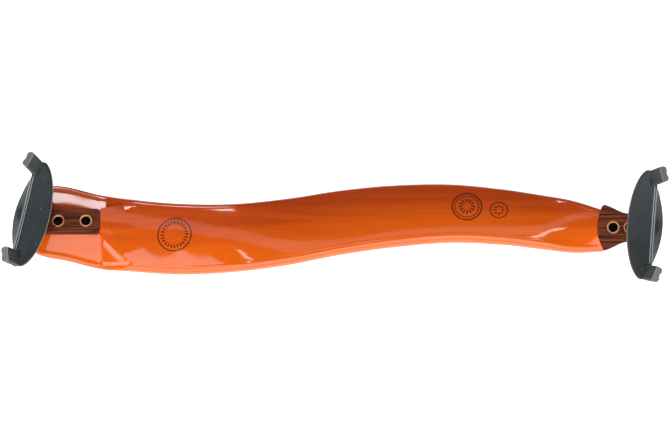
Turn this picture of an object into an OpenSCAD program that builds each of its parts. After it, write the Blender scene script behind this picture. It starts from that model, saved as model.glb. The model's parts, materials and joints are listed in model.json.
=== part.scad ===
// Violin shoulder rest, standing on its pad with the violin side up.
// X runs along the board from the chest end to the shoulder end, +Z points to the violin.
// The origin is under the middle of the whole rest, on the surface that it stands on.

/* [Board] */
// Length of the maple board, from the paddle's tip to the tongue
board_len = 210.3; // [190:0.1:225]
// X of the paddle's tip
tip_x = -114.3; // [-118:0.1:-111]
// Widest point of the board
board_w = 27.4; // [24:0.1:33]
// Thickness of the maple in the middle of its width
board_t = 6.2; // [5.2:0.1:8]
// How far the upper face is domed across the width
crown = 1.3; // [0.4:0.1:1.8]
// Rounding of the long edges
edge_r = 2.4; // [1.6:0.1:2.6]
// How far the outline swings to each side of the long axis
plan_swing = 5.3; // [2:0.1:8]
// How far the board waves up and down along its length
wave_h = 4.5; // [1:0.1:6]
// Sideways roll of the board at the belly
belly_roll = 15; // [0:1:18]
// Sideways roll of the tongue and its leg, the other way
tongue_roll = 10; // [0:1:12]
// Height of the bar's upper face above the ground
deck_z = 11; // [10:0.1:12]
// How far the paddle lies below the deck beside the bar
paddle_drop = 2.4; // [1:0.1:2.8]

/* [Rosewood bar] */
// Distance from the bar's inner end to its first hole
bar_margin = 5.1; // [4:0.1:8]
// Width of the bar
bar_w = 9; // [8:0.1:11]
// Thickness of the bar
bar_t = 3.2; // [2.9:0.1:4]
// Distance between the bar's holes
bar_pitch = 10; // [8:0.5:12]
// Y of the bar's centre line
bar_y = 2.35; // [1:0.05:4]

/* [Rosewood tongue] */
// Width of the tongue where it meets the board
tongue_w = 16.4; // [15:0.1:19]
// Width of the tongue at its outer holes
tongue_neck_w = 10; // [9:0.1:12]
// Thickness of the tongue
tongue_t = 5; // [4:0.1:6]
// Radius of the curved joint between tongue and board
tongue_joint_r = 17; // [14:0.5:24]
// Distance from the board's end to the tongue's first hole
tongue_margin = 3.5; // [3:0.1:5]
// Distance between the tongue's holes
tongue_pitch = 6; // [5:0.5:8]

/* [Threaded inserts] */
// Outer diameter of a brass insert
insert_d = 4.6; // [4.2:0.1:5.2]
// Pitch diameter of the M4 thread inside
thread_d = 3.6; // [3.4:0.05:3.7]
// Wood left under the bar's inserts
insert_floor = 0.5; // [0.2:0.1:1.5]
// Width of the bevel at an insert's mouth
insert_bevel = 0.35; // [0.1:0.05:0.4]

/* [Legs] */
// Radial clearance of the post in the threads
post_clear = 0.03; // [0.01:0.01:0.06]
// Length of the post below the fork
post_reach = 11.4; // [10:0.1:12]
// Length of the post inside the fork
post_grip = 3.2; // [2.5:0.1:3.6]
// Gap between bar and fork as the rest stands
left_lift = 4.1; // [3.8:0.1:6]
// Gap between tongue and fork as the rest stands
right_lift = 3.3; // [3.2:0.1:6]
// Angle that the chest fork is turned by
left_turn = -12; // [-30:1:30]
// Angle that the shoulder fork is turned by
right_turn = -4.5; // [-30:0.5:30]
// Diameter of a lock nut over its knurl
nut_d = 10.6; // [9:0.1:10.8]
// Height of a lock nut
nut_h = 2.8; // [2:0.1:2.9]
// Number of knurls round a lock nut
nut_knurls = 44; // [24:1:60]

/* [Forks] */
// Length of the fork's saddle
saddle_len = 39.8; // [38:0.1:44]
// Depth of the saddle's curved side from its centre line
saddle_depth = 6.7; // [5.5:0.1:8]
// Thickness of the saddle plate
saddle_t = 2.2; // [1.8:0.1:2.4]
// Height of the saddle's middle above the underside of the boss
saddle_z = 4.6; // [4.4:0.1:5.5]
// How much higher the saddle's ends are than its middle
saddle_rise = 2.6; // [1:0.1:4]
// Radius of the boss round the post
boss_r = 4.4; // [3.5:0.1:4.5]
// Width of the lip along the saddle's straight side
lip_w = 0.8; // [0.6:0.1:1.2]
// Height of the lip
lip_h = 0.6; // [0.3:0.1:1]

/* [Rubber boots] */
// Width of a boot
boot_w = 5.6; // [5:0.1:6.5]
// Thickness of a boot
boot_t = 2.8; // [2.4:0.1:3]
// Height of a boot along the claw
boot_h = 7.7; // [6:0.1:10]
// Outward lean of the claws
claw_lean = 24; // [10:1:30]
// Angle between the two claws and the saddle
claw_splay = 17; // [0:1:25]
// Distance from the post to the middle of a claw along the saddle
claw_v = 16.7; // [16:0.1:18]
// Radius of the two lobes on the back of a boot
lobe_r = 1.3; // [1.1:0.05:1.4]

/* [Pad] */
// Thickness of the foam pad
pad_t = 4.8; // [3:0.1:6]
// Distance from the board's edge to the pad's edge
pad_inset = 2.6; // [2.4:0.1:4]
// Glue line between foam and wood
pad_gap = 0.15; // [0.12:0.01:0.3]

/* [Hidden] */

seat_gap = 0.05;
glue_gap = 0.03;
boot_fit = 0.02;

lacquer = "#c8500f";
rosewood = "#4a1d0c";
brass = "#c98a4b";
steel = "#b9bcc0";
nickel = "#8d9092";
slate = "#3a4042";
rubber = "#60686a";
foam = "#2b2c2e";

// ---------- board centre line ----------
// Stations along the board as a share of its length, then the outline's sideways
// place, the wave, the width and the roll there, each as a share of its own size.
station = [0,     0.07,  0.14, 0.20, 0.28,  0.37,  0.46, 0.55,  0.64, 0.74, 0.83, 0.90, 0.95, 1];
swing   = [0.6,   0.53, -0.13, -0.5, -0.87, -0.9, -0.42, 0.34,  0.85, 1.07, 0.8,  0.38, 0.04, -0.27];
wave    = [0,     0,     0,    0.12, 0.75,  1.3,   1.1,  0.6,   0.3,  0.22, 0.3,  0.42, 0.52, 0.6];
width   = [0.98,  1,     1,    0.97, 0.95,  0.93,  0.945, 0.935, 0.9, 0.845, 0.8, 0.76, 0.7,  0.55];
roll    = [0,     0,     0,    0,    0,     0.33,  0.8,  1.0,   1.0,  1.0,  0.95, 0.7,  0.05, -0.6];

end_x = tip_x + board_len;
bar_end_x = tip_x + 29.4;

function lerp(a, b, f) = a + (b - a) * f;
function clamp(v, lo, hi) = max(lo, min(hi, v));
function ease(f) = let(g = clamp(f, 0, 1)) g * g * (3 - 2 * g);
function span_of(s, i = 0) = (i >= len(station) - 2 || s < station[i + 1]) ? i : span_of(s, i + 1);
function tangent(list, i) =
    let(a = max(i - 1, 0), b = min(i + 1, len(list) - 1))
    (list[b] - list[a]) / (station[b] - station[a]);
// Smooth value of a list of station values at the share s of the length
function along(list, s) =
    let(i = span_of(s), d = station[i + 1] - station[i], f = (s - station[i]) / d)
    (2 * f^3 - 3 * f^2 + 1) * list[i] + (f^3 - 2 * f^2 + f) * d * tangent(list, i)
    + (3 * f^2 - 2 * f^3) * list[i + 1] + (f^3 - f^2) * d * tangent(list, i + 1);

function share(x) = clamp((x - tip_x) / board_len, 0, 1);
function centre_y(x) = plan_swing * along(swing, share(x));
function centre_z(x) = deck_z - board_t / 2 + wave_h * along(wave, share(x));
function roll_at(x) = belly_roll * along(roll, share(x));
// The paddle's tip is rounded over its last stretch
tip_round = 15;
function tip_share(x) = clamp((tip_x + tip_round - x) / tip_round, 0, 1);
function half_w(x) = board_w / 2 * along(width, share(x)) * pow(1 - pow(tip_share(x), 2.4), 1 / 2.4);
function depth(x) = board_t * (1 - 0.25 * pow(tip_share(x), 3));

// ---------- V-shaped step between paddle and deck ----------
step_back_x = tip_x + 43.4;
step_front_x = tip_x + 41.6;
// Distance from the bar's centre line to the step's far ends
step_back_reach = 7.4;
step_front_reach = 17.6;
step_w = 0.45;
step_run = 13;
arm_w = bar_w - 2;
// Distance from the bar's centre line to the step, on the back (+Y) and the front side
function crease_back(x) = x < bar_end_x ? arm_w / 2
    : lerp(bar_w / 2, step_back_reach, (x - bar_end_x) / (step_back_x - bar_end_x));
function crease_front(x) = x < bar_end_x ? arm_w / 2
    : lerp(bar_w / 2, step_front_reach, (x - bar_end_x) / (step_front_x - bar_end_x));
function step_fade(x) = 1 - ease((x - bar_end_x) / step_run);
// The deck ends under the bar, where the bar's pocket takes over
function arm_fall(x) = x < bar_end_x - 4 ? paddle_drop : 0;
// How far the upper face lies below the deck at the distance past the step
function fall(x, past) = step_fade(x) * (paddle_drop + 0.12 * past);

// ---------- cross-section ----------
// Points go round the section: along the top from front to back, then back underneath.
edge_steps = 5;
top_steps = 4;
function turn_in(x, a, b) =
    let(r = roll_at(x))
    [x, centre_y(x) + a * cos(r) + b * sin(r), centre_z(x) - a * sin(r) + b * cos(r)];
function edge_at(x) = min(edge_r, half_w(x) * 0.55);
function flat_at(x) = half_w(x) - edge_at(x);
function low_b(x) = board_t / 2 - depth(x);
function top_b(x, a) = board_t / 2 - crown * pow(a / max(half_w(x), 1), 2);
function step_a(x, side) =
    let(shift = bar_y - centre_y(x), reach = side > 0 ? crease_back(x) : crease_front(x),
        room = flat_at(x) - 2 * step_w)
    side > 0 ? clamp(shift + reach, -room + 1, room) : clamp(shift - reach, -room, room - 1);
function top_side(x, side) =
    let(p = step_a(x, side), e = side * flat_at(x), foot = p + side * step_w)
    [for (i = [0 : top_steps])
        let(a = lerp(foot, e, i / top_steps))
        [a, top_b(x, a) - fall(x, abs(a - p))]];
function rim_half(x, side) =
    let(e = flat_at(x), r = edge_at(x), top = top_side(x, side)[top_steps][1], low = low_b(x),
        mid = (top + low) / 2, half = (top - low) / 2)
    [for (i = [1 : 2 * edge_steps - 1])
        let(t = 90 - 90 * i / edge_steps)
        [side * (e + r * pow(cos(t), 0.8)), mid + half * sign(sin(t)) * pow(abs(sin(t)), 0.8)]];
function section(x) =
    let(front = top_side(x, -1), back = top_side(x, 1), inner = step_a(x, -1), outer = step_a(x, 1))
    concat([for (i = [top_steps : -1 : 0]) front[i]],
           [for (i = [0 : 3]) let(a = lerp(inner, outer, i / 3)) [a, top_b(x, a) - arm_fall(x)]],
           back, rim_half(x, 1),
           [for (i = [2 : -1 : -2]) [flat_at(x) * i / 2, low_b(x)]],
           [for (i = [2 * edge_steps - 2 : -1 : 0]) rim_half(x, -1)[i]]);

// Closed solid through rings of points that all have the same number of points
module loft(rings) {
    n = len(rings[0]);
    m = len(rings);
    points = [for (ring = rings) each ring];
    sides = [for (i = [0 : m - 2], j = [0 : n - 1])
        let(a = i * n + j, b = i * n + (j + 1) % n)
        each [[a, b, a + n], [b, b + n, a + n]]];
    caps = [[for (j = [n - 1 : -1 : 0]) j], [for (j = [0 : n - 1]) (m - 1) * n + j]];
    polyhedron(points, concat(sides, caps));
}

// Stations are closer together at the rounded tip and round the step
body_x = concat([for (i = [0 : 6]) tip_x + 0.25 + 11.5 * pow(i / 6, 1.8)],
                [for (i = [1 : 6]) tip_x + 11.75 + 16.25 * i / 6],
                [for (i = [1 : 12]) lerp(tip_x + 28, step_back_x + 2, i / 12)],
                [for (i = [1 : 34]) lerp(step_back_x + 2, end_x, i / 34)]);

module body_blank() {
    loft([for (x = body_x) [for (p = section(x)) turn_in(x, p[0], p[1])]]);
}

// ---------- tongue frame ----------
// How far the joint's curve reaches into the board
tongue_sagitta = 2.1;
// The tongue lies a little below the crown of the board
tongue_drop = 0.3;
tongue_shift = 0.6;
// Wood left under the two empty holes
tongue_floor = 0.6;
tongue_y = centre_y(end_x) + tongue_shift;
tongue_z = centre_z(end_x) + board_t / 2 - tongue_drop;
tenon_len = 9;
tenon_w = 8;
tenon_t = 2.4;
right_post_x = tongue_margin + 2 * tongue_pitch;

// Places its children on the tongue's upper face, with the board's end at x = 0
module on_tongue() {
    translate([end_x, tongue_y, tongue_z]) rotate([tongue_roll, 0, 0]) children();
}
// Places its children on the bar's upper face at the hole with the number i, counted outward
module on_bar(i) {
    translate([bar_end_x - bar_margin - i * bar_pitch, bar_y, deck_z]) children();
}

module tongue_end(clear) {
    translate([tongue_joint_r - tongue_sagitta, 0, -30]) cylinder(r = tongue_joint_r + clear, h = 60, $fn = 120);
}

// ---------- bar and inserts ----------
bar_sink = 0.2;
bar_corner = 1.6;
bar_left_x = tip_x + 0.6;
bar_insert_len = board_t - bar_sink - insert_floor;

module bar_outline(grow) {
    x0 = bar_left_x - grow;
    x1 = bar_end_x + grow;
    w = bar_w / 2 + grow;
    tail = w - 0.4;
    translate([0, bar_y]) {
        translate([x1 - bar_corner, w - bar_corner]) circle(bar_corner, $fn = 32);
        translate([x1 - bar_corner, bar_corner - w]) circle(bar_corner, $fn = 32);
        translate([x0 + tail, -w]) square([x1 - bar_corner - x0 - tail, 2 * w]);
        translate([x0 + 1, bar_corner - w]) square([x1 - x0 - 1, 2 * (w - bar_corner)]);
        translate([x0 + tail, 0]) intersection() {
            circle(w, $fn = 48);
            translate([-tail, -w]) square([2 * tail, 2 * w]);
        }
    }
}

module insert(len) {
    bore_r = thread_d / 2;
    out_r = insert_d / 2;
    rotate_extrude($fn = 64)
        polygon([[bore_r, -len], [out_r, -len], [out_r, 0], [bore_r + insert_bevel, 0],
                 [bore_r, -insert_bevel]]);
}

module insert_hole(len) {
    translate([0, 0, -len - glue_gap]) cylinder(d = insert_d + 2 * glue_gap, h = len + 5, $fn = 64);
}
module tenon(gap) {
    translate([-tongue_sagitta - tenon_len - gap, -tenon_w / 2 - gap, -(tongue_t + tenon_t) / 2 - gap])
        cube([tenon_len + 4, tenon_w + 2 * gap, tenon_t + 2 * gap]);
}

// ---------- pieces of the board ----------
post_room = thread_d / 2 + 0.3;
// The pad has a well under each of the bar's holes, for the post at its lowest
well_depth = post_reach - nut_h;

module maple_body() {
    color(lacquer)
    difference() {
        body_blank();
        translate([0, 0, deck_z - bar_sink - bar_t - glue_gap]) linear_extrude(bar_t + 6) bar_outline(glue_gap);
        for (i = [0 : 2]) on_bar(i) {
            translate([0, 0, -bar_sink]) insert_hole(bar_insert_len);
            translate([0, 0, -20]) cylinder(r = post_room, h = 20, $fn = 64);
        }
        on_tongue() tongue_end(glue_gap);
        on_tongue() tenon(glue_gap);
    }
}

pad_corner = 1.6;

module shoulder_pad() {
    first = tip_x + 4;
    last = end_x - 9;
    end_power = 16;
    end_width = 0.55;
    end_height = 0.6;
    color(foam)
    difference() {
        loft([for (x = body_x) if (x > first && x < last)
            let(f = 2 * (x - first) / (last - first) - 1,
                ends = pow(1 - pow(abs(f), end_power), 0.5),
                w = (half_w(x) - pad_inset) * clamp(ends, end_width, 1),
                top = low_b(x) - pad_gap,
                t = pad_t * clamp(ends, end_height, 1), r = pad_corner)
            [for (p = [[-w, top], [-w / 3, top], [w / 3, top], [w, top], [w, top - t + r],
                       [w - 0.3 * r, top - t + 0.3 * r], [w - r, top - t], [w / 3, top - t],
                       [-w / 3, top - t], [r - w, top - t], [0.3 * r - w, top - t + 0.3 * r],
                       [-w, top - t + r]])
                turn_in(x, p[0], p[1])]]);
        translate([-200, -100, -20]) cube([400, 200, 20]);
        for (i = [0 : 2]) on_bar(i) translate([0, 0, -bar_sink - well_depth])
            cylinder(r = post_room, h = well_depth, $fn = 64);
    }
}

module left_plate() {
    color(rosewood)
    difference() {
        translate([0, 0, deck_z - bar_sink - bar_t]) linear_extrude(bar_t) bar_outline(0);
        for (i = [0 : 2]) on_bar(i) translate([0, 0, -bar_sink]) insert_hole(bar_t + 1);
    }
}

// Half-width of the tongue at the distance x from the board's end
neck_start = 1.5;
neck_end = 11;
function tongue_half(x) = lerp(tongue_w, tongue_neck_w, ease((x - neck_start + 2) / (neck_end - neck_start))) / 2;

module right_plate() {
    tail_r = tongue_neck_w / 2;
    xs = [for (i = [0 : 16]) lerp(-3, right_post_x, i / 16)];
    color(rosewood)
    on_tongue() difference() {
        union() {
            intersection() {
                translate([0, 0, -tongue_t]) linear_extrude(tongue_t) union() {
                    polygon(concat([for (x = xs) [x, tongue_half(x)]],
                                   [for (i = [16 : -1 : 0]) [xs[i], -tongue_half(xs[i])]]));
                    translate([right_post_x, 0]) circle(tail_r, $fn = 64);
                }
                tongue_end(0);
            }
            tenon(0);
        }
        for (i = [0 : 2]) translate([tongue_margin + i * tongue_pitch, 0, 0])
            insert_hole(i == 2 ? tongue_t + 1 : tongue_t - tongue_floor);
    }
}

module bar_insert(i) {
    color(brass) on_bar(i) translate([0, 0, -bar_sink]) insert(bar_insert_len);
}
module left_insert_inner() { bar_insert(0); }
module left_insert_middle() { bar_insert(1); }
module left_insert_outer() { bar_insert(2); }

module tongue_insert(i) {
    color(brass) on_tongue() translate([tongue_margin + i * tongue_pitch, 0, 0])
        insert(i == 2 ? tongue_t : tongue_t - tongue_floor);
}
module right_insert_inner() { tongue_insert(0); }
module right_insert_middle() { tongue_insert(1); }
module right_insert_outer() { tongue_insert(2); }

// ---------- legs ----------
// A leg's frame stands on the plate at its outer hole. Past the plate, u points outward
// along X and v along the saddle.
module left_leg() { on_bar(2) translate([0, 0, -bar_sink]) children(); }
module right_leg() { on_tongue() translate([right_post_x, 0, 0]) children(); }
module left_fork_frame() {
    left_leg() translate([0, 0, left_lift]) rotate([0, 0, 180 + left_turn]) children();
}
module right_fork_frame() {
    right_leg() translate([0, 0, right_lift]) rotate([0, 0, right_turn]) children();
}

module post() {
    r = thread_d / 2 - post_clear;
    chamfer = 0.4;
    color(steel) rotate_extrude($fn = 64)
        polygon([[0, -post_reach], [r - chamfer, -post_reach], [r, chamfer - post_reach],
                 [r, post_grip], [0, post_grip]]);
}
module left_post() { left_fork_frame() post(); }
module right_post() { right_fork_frame() post(); }

module lock_nut() {
    groove = 0.45;
    face_r = nut_d / 2 - 0.9;
    bevel = 0.4;
    color(nickel) translate([0, 0, seat_gap]) difference() {
        union() {
            translate([0, 0, bevel]) linear_extrude(nut_h - 2 * bevel)
                polygon([for (i = [0 : 4 * nut_knurls - 1])
                    let(t = 360 * i / (4 * nut_knurls), r = nut_d / 2 - (i % 4 < 2 ? 0 : groove))
                    r * [cos(t), sin(t)]]);
            cylinder(r = face_r, h = nut_h, $fn = 96);
        }
        translate([0, 0, -1]) cylinder(d = thread_d, h = nut_h + 2, $fn = 64);
    }
}
module left_lock_nut() { left_leg() lock_nut(); }
module right_lock_nut() { right_leg() lock_nut(); }

// ---------- fork ----------
saddle_u = -1;
lip_u = 1.2;
chord_half = 14.6;
bulge = 3.4;
claw_u = -0.5;

function saddle_top(v) = saddle_z + saddle_rise * pow(v / 20, 2);
function inner_u(v) = saddle_u - saddle_depth * sqrt(max(0, 1 - pow(2 * v / saddle_len, 2)));
function lip_at(v) = lip_u + lip_w - max(0, abs(v) - chord_half) * 0.32;
// Depth of the rib under the saddle, deepest at the boss
function rib(v) = 1 - ease((abs(v) - boss_r) / (chord_half - boss_r));
function bulge_u(v) = lip_at(v) + bulge * max(0, 1 - pow(v / chord_half, 2));

module saddle() {
    end_inset = 0.3;
    reach = saddle_len / 2 - end_inset;
    rows = 30;
    loft([for (i = [0 : rows])
        let(v = reach * sin(-90 + 180 * i / rows), top = saddle_top(v), u0 = inner_u(v), u3 = lip_at(v),
            under = top - saddle_t, low = lerp(under - 0.1, 0, rib(v)), rib_u = lerp(u3 - 1.2, -2, rib(v)),
            lip = lip_h * (1 - 0.9 * ease((abs(v) - chord_half + 2) / 2)))
        [for (p = [[u0, top - 1.5], [u0 + 0.15, top - 0.9], [u0 + 0.6, top - 0.45],
                   [lerp(u0, u3, 0.4), top - 0.12], [u3 - lip_w - 0.15, top],
                   [u3 - lip_w, top + lip], [u3 - 0.15, top + lip], [u3, top + lip - 0.2],
                   [bulge_u(v), lerp(under, 1.2, rib(v))], [bulge_u(v) - 0.3, low], [rib_u, low],
                   [rib_u - 0.5, under], [lerp(u0, rib_u, 0.3), under]])
            [p[0], -v, p[1]]]]);
}

// Frame of a claw: p points outward, q along its width and r up the leaning claw
module claw_frame(side) {
    translate([claw_u, side * claw_v, saddle_top(claw_v)])
        rotate([0, 0, side * claw_splay]) rotate([0, claw_lean, 0]) children();
}
prong_w = 3.6;
prong_t = 1;
prong_h = boot_h - 1.3;

// The block that joins a prong to the saddle: how far it runs inward, how deep it goes
// and how much narrower it is than the boot on each side
root_reach = 1.5;
root_depth = saddle_t + 0.1;
root_step = 0.2;

module prong(root, gap) {
    translate([0.7 - gap, -prong_w / 2 - gap, -root])
        cube([prong_t + 2 * gap, prong_w + 2 * gap, prong_h + root + gap]);
}

module fork() {
    color(slate) difference() {
        union() {
            difference() {
                union() {
                    saddle();
                    cylinder(r = boss_r, h = saddle_z - 0.8, $fn = 96);
                }
                for (side = [-1, 1]) claw_frame(side) translate([0, -8, 0]) cube([12, 16, 14]);
            }
            for (side = [-1, 1]) claw_frame(side) {
                translate([-root_reach, root_step - boot_w / 2, -root_depth])
                    cube([boot_t + root_reach, boot_w - 2 * root_step, root_depth]);
                prong(1, 0);
            }
        }
        translate([0, 0, -1]) cylinder(d = thread_d, h = post_grip + 1.1, $fn = 64);
    }
}
module left_fork() { left_fork_frame() fork(); }
module right_fork() { right_fork_frame() fork(); }

module boot_profile() {
    corner = 0.6;
    translate([0, -boot_w / 2]) square([boot_t - lobe_r, boot_w]);
    for (q = [-1, 1]) translate([boot_t - lobe_r, q * (boot_w / 2 - lobe_r)]) circle(lobe_r, $fn = 40);
    translate([0, lobe_r - boot_w / 2]) square([boot_t - corner, boot_w - 2 * lobe_r]);
}

module boot(side) {
    color(rubber) claw_frame(side) difference() {
        translate([boot_fit, 0, boot_fit]) linear_extrude(boot_h) boot_profile();
        prong(1, boot_fit);
    }
}
module left_boot_front() { left_fork_frame() boot(1); }
module left_boot_back() { left_fork_frame() boot(-1); }
module right_boot_front() { right_fork_frame() boot(-1); }
module right_boot_back() { right_fork_frame() boot(1); }

maple_body();
shoulder_pad();
left_plate();
right_plate();
left_insert_inner();
left_insert_middle();
left_insert_outer();
right_insert_inner();
right_insert_middle();
right_insert_outer();
left_post();
right_post();
left_lock_nut();
right_lock_nut();
left_fork();
right_fork();
left_boot_front();
left_boot_back();
right_boot_front();
right_boot_back();
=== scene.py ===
"""Violin shoulder rest: the visible pieces, their materials and a small studio around the CAD frame."""

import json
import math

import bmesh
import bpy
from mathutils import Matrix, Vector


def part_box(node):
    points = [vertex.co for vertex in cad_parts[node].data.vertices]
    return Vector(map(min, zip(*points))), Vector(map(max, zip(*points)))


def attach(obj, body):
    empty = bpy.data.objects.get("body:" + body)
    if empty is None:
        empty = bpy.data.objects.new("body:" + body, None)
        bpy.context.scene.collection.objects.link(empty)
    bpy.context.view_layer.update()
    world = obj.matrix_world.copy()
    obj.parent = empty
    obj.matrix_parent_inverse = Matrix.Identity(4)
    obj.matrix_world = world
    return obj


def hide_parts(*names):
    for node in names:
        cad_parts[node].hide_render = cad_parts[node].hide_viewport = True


bl_info = {
    "name": "Violin Shoulder Rest",
    "version": (1, 0, 0),
    "blender": (4, 5, 0),
    "location": "3D View > Sidebar > Shoulder Rest",
    "description": "Builds a wooden violin shoulder rest with two adjustable forks and a foam pad",
    "category": "Add Mesh",
}

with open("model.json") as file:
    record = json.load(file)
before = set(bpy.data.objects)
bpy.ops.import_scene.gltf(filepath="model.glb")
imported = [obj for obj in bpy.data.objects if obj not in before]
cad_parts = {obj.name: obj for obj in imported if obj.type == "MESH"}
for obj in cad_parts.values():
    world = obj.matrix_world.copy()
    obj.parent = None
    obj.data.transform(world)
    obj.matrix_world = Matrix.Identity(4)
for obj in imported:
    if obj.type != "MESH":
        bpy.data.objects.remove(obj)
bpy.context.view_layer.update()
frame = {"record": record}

MM = 0.001
joints = {joint["name"]: joint for joint in frame["record"]["behaviour"]["joints"]}
INSERTS = {end: [f"{end}_insert_{place}" for place in ("inner", "middle", "outer")]
           for end in ("left", "right")}
# Near black for the painted shade deep in holes and bores.
PAINTED_SHADE_BLACK = (0.004, 0.003, 0.002)


def srgb(red, green, blue):
    """Linear colour of an 8-bit display colour."""
    def linear(value):
        part = value / 255
        return part / 12.92 if part <= 0.04045 else ((part + 0.055) / 1.055) ** 2.4
    return (linear(red), linear(green), linear(blue))


def length(name, description, millimetres):
    """A length property with its default given in millimetres."""
    return bpy.props.FloatProperty(name=name, description=description, default=millimetres * MM,
                                   min=0.0, unit="LENGTH", subtype="DISTANCE", precision=5)


def angle(name, description, degrees):
    """An angle property with its default given in degrees."""
    return bpy.props.FloatProperty(name=name, description=description, default=math.radians(degrees),
                                   unit="ROTATION", subtype="ANGLE")


def colour(name, description, value):
    """A colour property."""
    return bpy.props.FloatVectorProperty(name=name, description=description, default=value, size=3,
                                         min=0.0, max=1.0, subtype="COLOR")


# ---------- settings ----------

class ShoulderRestBoard(bpy.types.PropertyGroup):
    """Maple board, rosewood ends and pad."""

    board_len: length("Length", "Length of the maple board", 210.3)
    board_w: length("Width", "Widest point of the board", 27.4)
    board_t: length("Thickness", "Thickness of the maple in the middle of its width", 6.2)
    crown: length("Crown", "How far the upper face is domed across the width", 1.3)
    edge_r: length("Edge", "Rounding of the long edges", 2.4)
    plan_swing: length("Swing", "How far the outline swings to each side", 5.3)
    wave_h: length("Wave", "How far the board waves up and down", 4.5)
    belly_roll: angle("Belly roll", "Sideways roll of the board at the belly", 15)
    paddle_drop: length("Paddle drop", "How far the paddle lies below the deck", 2.4)
    pad_t: length("Pad thickness", "Thickness of the foam pad", 4.8)
    pad_inset: length("Pad inset", "Distance from the board's edge to the pad's edge", 2.6)
    lacquer: colour("Lacquer", "Amber lacquer on the maple", srgb(205, 84, 8))
    lacquer_dark: colour("Lacquer streaks", "Darker grain of the maple", srgb(176, 62, 6))
    # Painted light and painted shade: the lacquer is painted lighter at the front edge and darker at the back
    # edge.
    lacquer_front_painted_light: colour("Lacquer at the front", "Painted light: amber of the front edge", srgb(212, 90, 4))
    lacquer_back_painted_shade: colour("Lacquer at the back", "Painted shade: red-brown of the back edge", srgb(160, 52, 14))
    burn: colour("Burned mark", "Burned rings on the maple", srgb(48, 22, 13))
    rosewood: colour("Rosewood", "Ground colour of the rosewood", srgb(118, 50, 20))
    rosewood_dark: colour("Rosewood streaks", "Dark streaks of the rosewood", srgb(38, 20, 12))
    foam: colour("Foam", "Colour of the pad", srgb(44, 45, 47))


class ShoulderRestLegs(bpy.types.PropertyGroup):
    """Threaded inserts, posts, lock nuts, forks and boots."""

    insert_d: length("Insert", "Outer diameter of a brass insert", 4.6)
    thread_d: length("Thread", "Outer diameter of the screw thread", 4.0)
    thread_pitch: length("Pitch", "Distance between two turns of the thread", 0.7)
    nut_d: length("Nut", "Diameter of a lock nut over its knurl", 10.6)
    nut_h: length("Nut height", "Height of a lock nut", 2.8)
    right_lift: length("Right lift", "Gap between tongue and fork", 3.3)
    left_turn: angle("Left turn", "Angle that the chest fork is turned by", -12)
    right_turn: angle("Right turn", "Angle that the shoulder fork is turned by", -4.5)
    saddle_len: length("Saddle length", "Length of a fork's saddle", 39.8)
    saddle_depth: length("Saddle depth", "Depth of the saddle's curved side", 6.7)
    boot_h: length("Boot height", "Height of a rubber boot along its claw", 7.7)
    brass: colour("Brass", "Colour of the threaded inserts", srgb(214, 150, 104))
    steel: colour("Steel", "Colour of the posts", srgb(196, 199, 203))
    nickel: colour("Nickel", "Colour of the lock nuts", srgb(190, 192, 195))
    plastic: colour("Plastic", "Moulded plastic of the forks", srgb(34, 38, 40))
    rubber: colour("Rubber", "Rubber of the boots", srgb(44, 48, 50))
    # Colour of the painted light on the boots' upper ends.
    rubber_tip_painted_light: colour("Rubber tips", "Painted light on the ends of the boots", srgb(96, 105, 107))
    # Colour of the painted highlight along the edges of the forks and boots.
    painted_edge_highlight: colour("Painted edge highlights", "Painted highlights on edges of plastic and rubber", srgb(150, 156, 157))


class ShoulderRestStudio(bpy.types.PropertyGroup):
    """Camera, floor and lights."""

    elevation: angle("Elevation", "Height of the camera above the horizon", 75)
    distance: length("Distance", "Distance from the camera to the rest", 1300)
    aim_y: length("Aim across", "Where the camera looks, across the board", 2.5)
    aim_z: length("Aim height", "Where the camera looks, above the floor", 11)
    focal: bpy.props.FloatProperty(name="Focal length", description="Focal length of the lens in millimetres",
                                   default=193.6, min=20.0, unit="CAMERA")
    light: bpy.props.FloatProperty(name="Light", description="Brightness of all the softboxes", default=1.0,
                                   min=0.0, subtype="FACTOR")
    surround: bpy.props.FloatProperty(name="Surround", description="Brightness of the room", default=0.12,
                                      min=0.0, subtype="FACTOR")


# ---------- mesh helpers, all in millimetres ----------

def lerp(a, b, share):
    """Value between a and b, by a share."""
    return a + (b - a) * share


def clamp(value, low, high):
    """The value, held between low and high."""
    return max(low, min(high, value))


def ease(share):
    """Share from 0 to 1 with soft ends."""
    part = clamp(share, 0.0, 1.0)
    return part * part * (3 - 2 * part)


def cad_centre(node):
    """Middle of a CAD node's box, in millimetres."""
    low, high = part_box(node)
    return (Vector(low) + Vector(high)) / 2 / MM


def new_object(name, mesh):
    """Object that holds the mesh, in the scene."""
    piece = bpy.data.objects.new(name, mesh)
    bpy.context.scene.collection.objects.link(piece)
    return piece


def mesh_piece(name, points, faces):
    """Object from points and faces."""
    mesh = bpy.data.meshes.new(name)
    mesh.from_pydata([tuple(point) for point in points], [], faces)
    mesh.validate()
    return new_object(name, mesh)


def loft(name, rings, closed=False):
    """Solid through rings that all have the same number of points; closed joins the last ring to the first."""
    around = len(rings[0])
    count = len(rings)
    points = [point for ring in rings for point in ring]
    faces = []
    for i in range(count if closed else count - 1):
        for j in range(around):
            a = i * around + j
            b = i * around + (j + 1) % around
            c = (i + 1) % count * around + (j + 1) % around
            d = (i + 1) % count * around + j
            faces.append((a, b, c, d))
    if not closed:
        faces.append(tuple(range(around - 1, -1, -1)))
        faces.append(tuple(range((count - 1) * around, count * around)))
    piece = mesh_piece(name, points, faces)
    face_outward(piece)
    return piece


def lathe(name, profile, steps=64):
    """Ring-shaped solid from a closed profile of (radius, height) turned round Z."""
    rings = [[(r * math.cos(2 * math.pi * i / steps), r * math.sin(2 * math.pi * i / steps), z)
              for r, z in profile] for i in range(steps)]
    return loft(name, rings, closed=True)


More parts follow.
